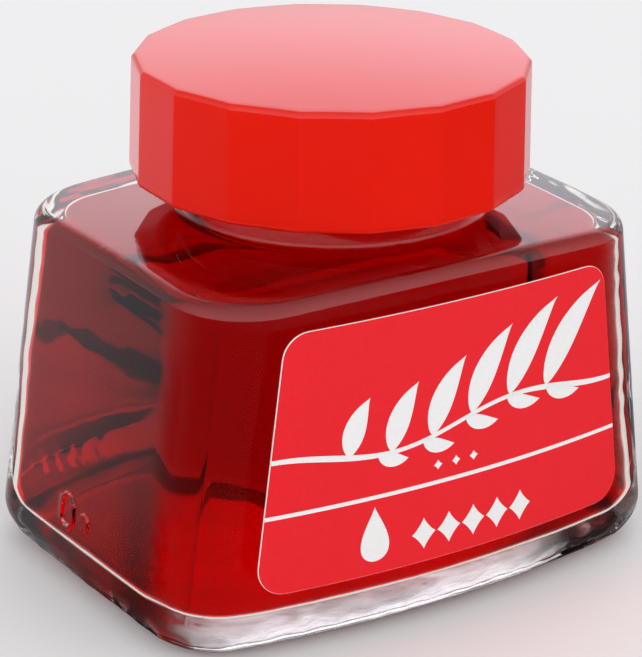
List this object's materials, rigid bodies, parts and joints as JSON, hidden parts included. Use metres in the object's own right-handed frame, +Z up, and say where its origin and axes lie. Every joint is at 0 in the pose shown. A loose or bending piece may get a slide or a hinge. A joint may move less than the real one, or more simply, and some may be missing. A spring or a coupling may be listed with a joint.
{
  "type": "ink bottle",
  "caption": "Squat tapered glass bottle of red fountain-pen ink with a faceted screw cap, a sealing disc and a front label.",
  "frame": {"origin": "under the centre of the base, on the surface that the bottle stands on", "axes": "+Z up along the neck and the cap, -Y out of the labelled front, +X to the right of someone facing the label"},
  "size_m": [0.0501, 0.0386, 0.0441],
  "materials": {
    "clear_glass": "gloss",
    "red_ink": "gloss",
    "label_film": "satin",
    "liner_foam": "matte",
    "cap_plastic": "gloss"
  },
  "bodies": {
    "bottle": {"glass_bottle": "clear_glass", "ink": "red_ink", "front_label": "label_film"},
    "cap_lift": {"cap_liner": "liner_foam"},
    "cap": {"screw_cap": "cap_plastic"}
  },
  "joints": [
    {"name": "cap_lift", "type": "slide", "parent": "bottle", "child": "cap_lift", "axis": [0, 0, 1], "range_m": [0, 0.0076]},
    {"name": "cap_turn", "type": "hinge", "parent": "cap_lift", "child": "cap", "pos_m": [0, 0, 0.03345], "axis": [0, 0, 1], "range_deg": [0, 900]}
  ],
  "couplings": [
    {"joint": "cap_lift", "follows": "cap_turn", "m_per_rad": 0.00047746}
  ]
}
